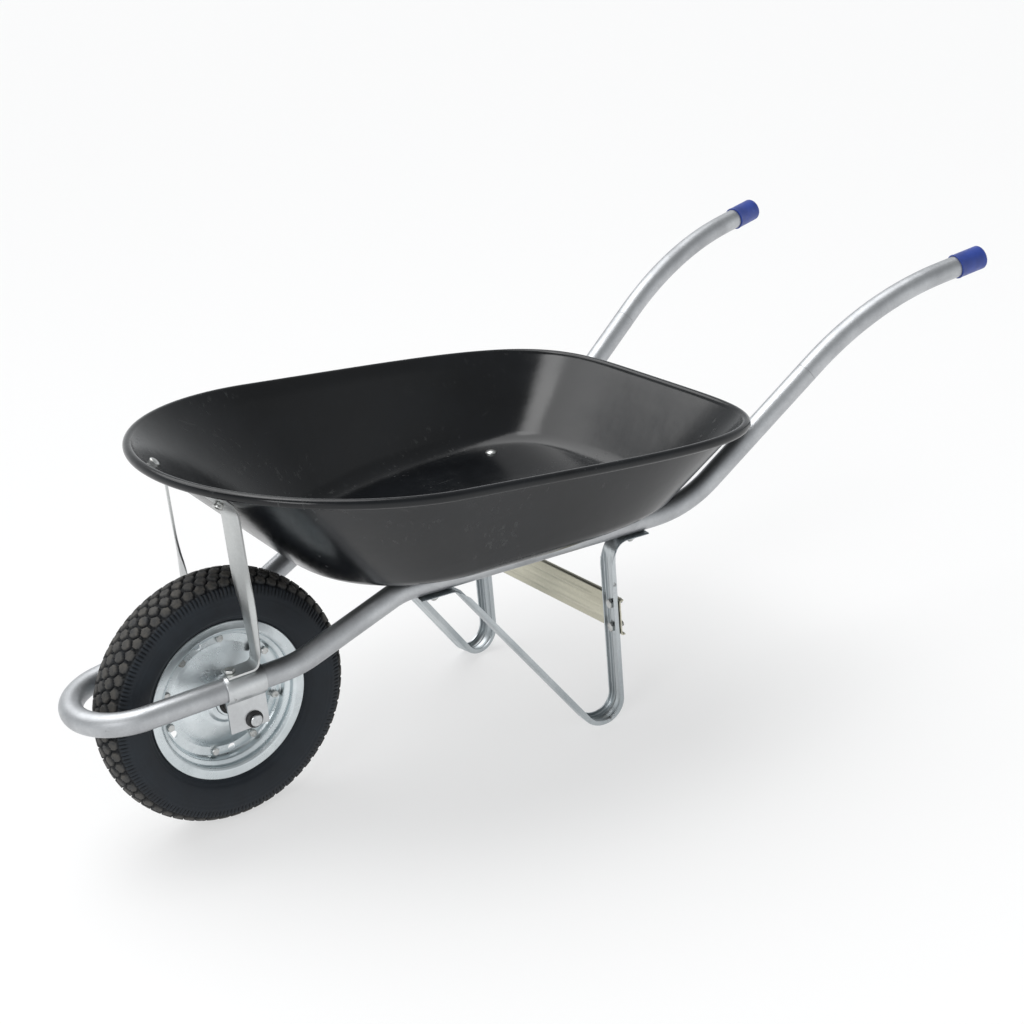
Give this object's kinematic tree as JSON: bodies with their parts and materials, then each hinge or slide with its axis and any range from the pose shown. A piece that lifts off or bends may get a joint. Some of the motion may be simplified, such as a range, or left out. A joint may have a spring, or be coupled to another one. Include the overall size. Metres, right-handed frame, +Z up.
{
  "type": "wheelbarrow",
  "caption": "Builder's wheelbarrow: bent tube frame looping round the front wheel, pressed steel tray on top, strip legs with a cross brace, and a pneumatic tyre on a steel rim.",
  "frame": {"origin": "middle of the whole outline, on the ground", "axes": "+X from the wheel to the handles, +Y to the user's right, +Z up"},
  "size_m": [1.4774, 0.633, 0.5923],
  "materials": {
    "tyre": "worn black rubber, dusty on the tread",
    "inner_tube_rubber": "plain black rubber",
    "tray_paint": "satin black paint on pressed steel",
    "grip_plastic": "blue plastic, slightly glossy",
    "black_plastic": "black moulded plastic",
    "galvanised_steel": "galvanised, dull and faintly mottled",
    "yellow_zinc_steel": "passivated zinc with a yellow cast",
    "wheel_zinc": "bright zinc plate on pressed steel",
    "fastener_zinc": "zinc plated"
  },
  "bodies": {
    "frame": {"frame_tube": "galvanised_steel", "tray": "tray_paint", "cross_brace": "yellow_zinc_steel", "axle": "fastener_zinc", "axle_insert_left": "black_plastic", "axle_spacer_left": "fastener_zinc", "axle_insert_right": "black_plastic", "axle_spacer_right": "fastener_zinc", "handle_tube_left": "galvanised_steel", "grip_left": "grip_plastic", "front_stay_left": "galvanised_steel", "axle_bracket_left": "galvanised_steel", "leg_left": "galvanised_steel", "tray_bolt_front_left": "fastener_zinc", "tray_nut_front_left": "fastener_zinc", "tray_bolt_rear_left": "fastener_zinc", "tray_nut_rear_left": "fastener_zinc", "brace_bolt_upper_left": "fastener_zinc", "brace_nut_upper_left": "fastener_zinc", "brace_bolt_lower_left": "fastener_zinc", "brace_nut_lower_left": "fastener_zinc", "stay_foot_bolt_left": "fastener_zinc", "stay_top_bolt_left": "fastener_zinc", "handle_tube_right": "galvanised_steel", "grip_right": "grip_plastic", "front_stay_right": "galvanised_steel", "axle_bracket_right": "galvanised_steel", "leg_right": "galvanised_steel", "tray_bolt_front_right": "fastener_zinc", "tray_nut_front_right": "fastener_zinc", "tray_bolt_rear_right": "fastener_zinc", "tray_nut_rear_right": "fastener_zinc", "brace_bolt_upper_right": "fastener_zinc", "brace_nut_upper_right": "fastener_zinc", "brace_bolt_lower_right": "fastener_zinc", "brace_nut_lower_right": "fastener_zinc", "stay_foot_bolt_right": "fastener_zinc", "stay_top_bolt_right": "fastener_zinc"},
    "wheel": {"tyre": "tyre", "inner_tube": "inner_tube_rubber", "rim_left": "wheel_zinc", "rim_right": "wheel_zinc", "hub": "wheel_zinc", "hub_bearing_left": "black_plastic", "hub_bearing_right": "black_plastic", "wheel_bolt_1": "fastener_zinc", "wheel_bolt_2": "fastener_zinc", "wheel_bolt_3": "fastener_zinc", "wheel_bolt_4": "fastener_zinc", "wheel_bolt_5": "fastener_zinc", "wheel_bolt_6": "fastener_zinc", "wheel_bolt_7": "fastener_zinc", "wheel_bolt_8": "fastener_zinc", "valve_stem": "black_plastic", "valve_cap": "black_plastic"}
  },
  "joints": [
    {"name": "wheel_spin", "type": "hinge", "parent": "frame", "child": "wheel", "pos_m": [-0.51414, 0, 0.184], "axis": [0, 1, 0], "continuous": true}
  ]
}
